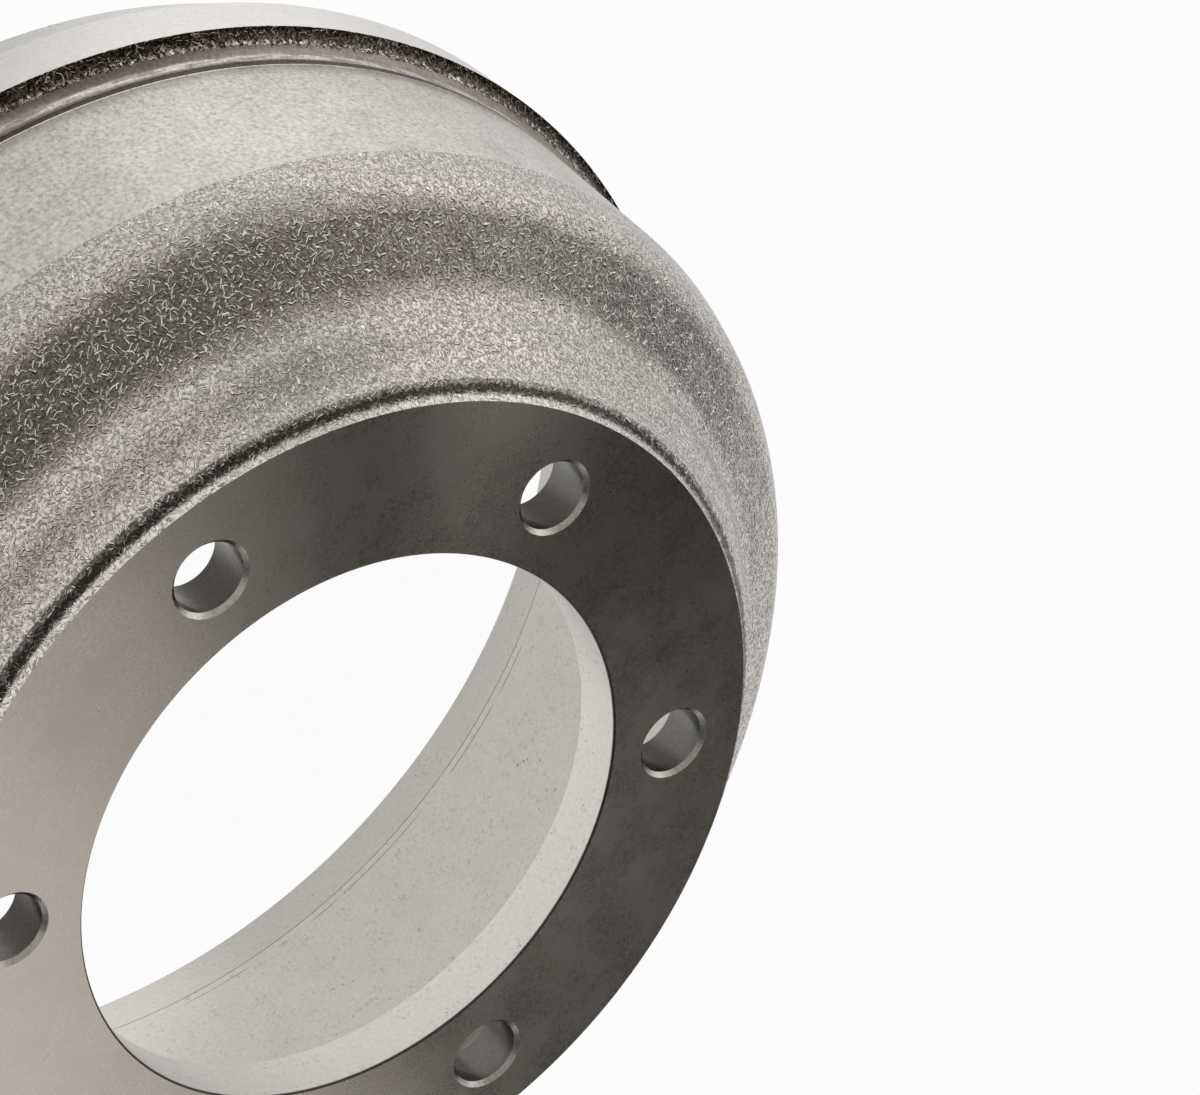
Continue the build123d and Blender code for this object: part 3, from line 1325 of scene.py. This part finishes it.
@dataclass(frozen=True)
class FloorShine:
    """How bright the floor shows in shiny metal, ring by ring and direction by direction.

    Directions are in degrees from +X, distances from the axis in metres. Each edge has two
    directions and what the level gains on the way from the first to the second.

    Attributes:
        inner: Level of the ring under the drum.
        inner_edges: Its edges.
        inner_border: Distances over which that ring sets in, from outside.
        near: Level of the ring round the drum.
        near_edges: Its edges.
        near_painted_shadow: How much darker that ring is close to the drum, a painted shadow of the drum.
        painted_shadow_border: Distances over which that painted shadow sets in, from outside.
        far: Level of the floor beyond.
        far_stripe: Directions between which it is brighter: start, full, fading and end.
        far_gain: How much brighter.
        far_border: Distances over which the floor beyond sets in.
    """

    inner: float = 0.94
    inner_edges: tuple[Edge, ...] = ((-122.0, -142.0, 0.40), (-75.0, -40.0, 0.24))
    inner_border: Span = (0.175, 0.155)
    near: float = 0.76
    near_edges: tuple[Edge, ...] = ((50.0, 22.0, 0.40), (16.0, -12.0, -0.26), (-12.0, -40.0, -0.10))
    near_painted_shadow: float = 0.20
    painted_shadow_border: Span = (0.26, 0.19)
    far: float = 0.87
    far_stripe: Stripe = (-60.0, -15.0, 14.0, 34.0)
    far_gain: float = 0.24
    far_border: Span = (0.34, 0.42)

    @staticmethod
    def ring(graph: Graph, turn: Value, level: Number, edges: tuple[Edge, ...]) -> Number:
        """A level plus, for each edge, its gain times a smooth step between its directions."""
        for start, end, gain in edges:
            level = graph.step(turn, start, end) * gain + level
        return level

    def level(self, graph: Graph, x: Value, y: Value) -> Value:
        """Build the nodes.

        Args:
            graph: The floor's graph.
            x: The floor's x, in metres.
            y: Its y.

        Returns:
            The level, where 1 is white.
        """
        turn, reach = graph.bearing(x, y), graph.reach(x, y)
        near = self.ring(graph, turn, self.near, self.near_edges)
        # painted shadow: the floor's shine darkens close to the drum
        near = near * (1 - graph.step(reach, *self.painted_shadow_border) * self.near_painted_shadow)
        far = graph.between(turn, *self.far_stripe) * self.far_gain + self.far
        outer = graph.blend(graph.step(reach, *self.far_border), near, far)
        inner = self.ring(graph, turn, self.inner, self.inner_edges)
        return graph.blend(graph.step(reach, *self.inner_border), outer, inner)


@dataclass(frozen=True)
class Sky:
    """The light from all round: white at the horizon, falling off to a warm dim ceiling.

    Directions are in degrees from +X. The height of a direction is its z, 0 at the horizon and
    1 overhead, and a share runs from 0 to 1.

    Attributes:
        stops: The colours of the fall-off, by height.
        gap: Directions of a darker gap: start, full, fading and end.
        gap_heights: Heights over which the gap fades out and is full, from above.
        gap_loss: Share that the gap takes away.
        window: Directions of a brighter window.
        window_heights: Heights over which it fades out and is full, from above.
        window_gain: Share that the window adds.
        side: Directions over which the darker side sets in.
        side_heights: Heights over which it sets in.
        side_loss: Share that the side takes away.
        back: Two pairs of directions, over each of which the dim back sets in.
        back_heights: Heights over which it sets in.
        back_loss: Share that the back takes away.
    """

    stops: tuple[tuple[float, Colour], ...] = (
        (0.0, (1.0, 1.0, 1.0)),
        (0.20, (0.97, 0.965, 0.955)),
        (0.36, (0.84, 0.83, 0.81)),
        (0.52, (0.64, 0.625, 0.60)),
        (0.66, (0.39, 0.373, 0.35)),
        (0.80, (0.22, 0.206, 0.19)),
        (1.0, (0.16, 0.149, 0.137)),
    )
    gap: Stripe = (-8.0, 6.0, 18.0, 34.0)
    gap_heights: Span = (0.9, 0.4)
    gap_loss: float = 0.40
    window: Stripe = (-48.0, -32.0, -12.0, 6.0)
    window_heights: Span = (0.45, 0.2)
    window_gain: float = 0.30
    side: Span = (-34.0, -58.0)
    side_heights: Span = (-0.02, 0.12)
    side_loss: float = 0.45
    back: tuple[Span, Span] = ((-38.0, -80.0), (105.0, 150.0))
    back_heights: Span = (0.0, 0.4)
    back_loss: float = 0.92

    def colour(self, graph: Graph, way: Value) -> Value:
        """Build the nodes: a ramp over the height, times what the four parts take away or add.

        Args:
            graph: The world's graph.
            way: The direction.

        Returns:
            The colour.
        """
        x, y, z = graph.split(way)
        turn = graph.bearing(x, y)
        ramp = graph.value("ShaderNodeValToRGB", {"stops": self.stops}, {"Fac": z}, "Color")
        gap = graph.between(turn, *self.gap) * graph.step(z, *self.gap_heights)
        window = graph.between(turn, *self.window) * graph.step(z, *self.window_heights)
        side = graph.step(turn, *self.side) * graph.step(z, *self.side_heights)
        back = graph.math("MAXIMUM", *(graph.step(turn, *span) for span in self.back))
        back = back * graph.step(z, *self.back_heights)
        level = (1 - gap * self.gap_loss) * (1 + window * self.window_gain)
        level = level * (1 - side * self.side_loss) * (1 - back * self.back_loss)
        return graph.tinted(ramp, level)


@dataclass(frozen=True)
class Studio:
    """Floor, light and camera.

    Attributes:
        aim: Where the camera's axis meets the plane of the hub face, in metres.
        camera_azimuth: The camera's place round the drum, in degrees from +X.
        camera_elevation: Its height as an angle, in degrees.
        camera_roll: Its turn about its own axis, in degrees.
        camera_distance: Its distance from the aim, in metres.
        lens: Focal length on a 36 mm wide sensor, in millimetres.
        floor_radius: How far the floor reaches, in metres.
        floor_sides: Number of sides of its outline.
        floor_gap: How far it lies under the drum, in metres, so that the two don't touch.
        floor_white: Share of the floor that shows as white paper; the rest takes the shadow.
        shine: How the floor shows in shiny metal.
        sky: The light from all round.
        lamp_aim: The point that the lamps face, the middle of the hub face, in metres.
        softboxes: The lamps.
    """

    aim: tuple[float, float, float] = (0.09182, -0.0233, 0.15)
    camera_azimuth: float = 78.094
    camera_elevation: float = 43.025
    camera_roll: float = 128.797
    camera_distance: float = 1.08216
    lens: float = 127.69
    floor_radius: float = 30.0
    floor_sides: int = 96
    floor_gap: float = 0.0002
    floor_white: float = 0.96
    shine: FloorShine = FloorShine()
    sky: Sky = Sky()
    lamp_aim: tuple[float, float, float] = (0.0, 0.0, 0.15)
    softboxes: tuple[Softbox, ...] = (
        Softbox("hub_light", 216.0, 52.0, 0.49, 0.34, 0.295),
        Softbox("top_light", 262.0, 66.0, 0.60, 0.16, 0.040),
        Softbox("low_light", 238.5, 28.0, 0.80, 0.14, 0.055),
        Softbox("fan_light", 290.0, 51.0, 0.60, 0.07, 0.022),
        Softbox("shadow_light", 330.0, 62.0, 2.2, 1.2, 3.0, shines=False),
    )

    def camera(self) -> None:
        """Make the camera and use it.

        Its axes are worked out from azimuth and elevation and turned by the roll about the line
        of sight.
        """
        data = bpy.data.cameras.new("camera")
        data.sensor_fit = "HORIZONTAL"
        data.sensor_width = 36.0
        data.lens = self.lens
        data.clip_start = 0.05
        data.clip_end = 100.0
        back = direction(self.camera_azimuth, self.camera_elevation)
        level = Vector((0, 0, 1)).cross(back).normalized()
        upright = back.cross(level)
        roll = math.radians(self.camera_roll)
        right = level * math.cos(roll) + upright * math.sin(roll)
        up = back.cross(right)
        turn = Matrix((right, up, back)).transposed()
        made = new_object("camera", data)
        made.matrix_world = Matrix.Translation(Vector(self.aim) + back * self.camera_distance) @ turn.to_4x4()
        bpy.context.scene.camera = made

    def floor(self) -> None:
        """Make the pale floor: white to the camera, shaded in shiny metal, with a faint shadow."""
        mesh = bpy.data.meshes.new("floor")
        angle = np.linspace(0.0, 2 * math.pi, self.floor_sides, endpoint=False)
        rim = np.stack([np.cos(angle), np.sin(angle), np.zeros_like(angle)], 1) * self.floor_radius
        mesh.from_pydata(rim.tolist(), [], [list(range(self.floor_sides))])
        made = new_object("floor", mesh)
        made.location = (0, 0, -self.floor_gap)
        material, graph = new_material("floor_paper")
        rays = graph.node("ShaderNodeLightPath").outputs
        kinds = ("Camera", "Glossy", "Transmission")
        camera, glossy, passed = (Value(graph, rays[f"Is {kind} Ray"]) for kind in kinds)
        seen = graph.math("MAXIMUM", camera, graph.math("MAXIMUM", glossy, passed))
        x, y, _ = graph.split(graph.value("ShaderNodeTexCoord", output="Object"))
        strength = graph.blend(camera, self.shine.level(graph, x, y), 1.0)
        paper = graph.value("ShaderNodeBsdfDiffuse", inputs={"Color": (0.8, 0.8, 0.8, 1)})
        white = graph.value("ShaderNodeEmission", inputs={"Color": (1, 1, 1, 1), "Strength": strength})
        both = graph.value("ShaderNodeMixShader", inputs={0: seen * self.floor_white, 1: paper, 2: white})
        graph.node("ShaderNodeOutputMaterial", inputs={"Surface": both})
        mesh.materials.append(material)

    def world(self) -> None:
        """Light the studio from all round with the sky."""
        world = bpy.data.worlds.new("studio")
        world.use_nodes = True
        bpy.context.scene.world = world
        graph = Graph(world.node_tree)
        colour = self.sky.colour(graph, graph.value("ShaderNodeTexCoord", output="Generated"))
        back = graph.value("ShaderNodeBackground", inputs={"Color": colour, "Strength": 1.0})
        graph.node("ShaderNodeOutputWorld", inputs={"Surface": back})

    def build(self) -> None:
        """Set up the floor, the world, the lights and the camera."""
        self.floor()
        self.world()
        for softbox in self.softboxes:
            softbox.place(Vector(self.lamp_aim))
        self.camera()
        bpy.context.scene.view_settings.view_transform = "Standard"


def report(piece: bpy.types.Object) -> None:
    """Log a piece's name and its number of triangles."""
    piece.data.calc_loop_triangles()
    log.info("%s: %d triangles", piece.name, len(piece.data.loop_triangles))


def main() -> None:
    """Load the frame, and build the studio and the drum."""
    logging.basicConfig(level=logging.INFO, format="%(message)s")
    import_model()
    Studio().build()
    drum = Drum().build()
    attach(drum, "root")
    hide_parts("brake_drum")
    report(drum)


if __name__ == "__main__":
    main()
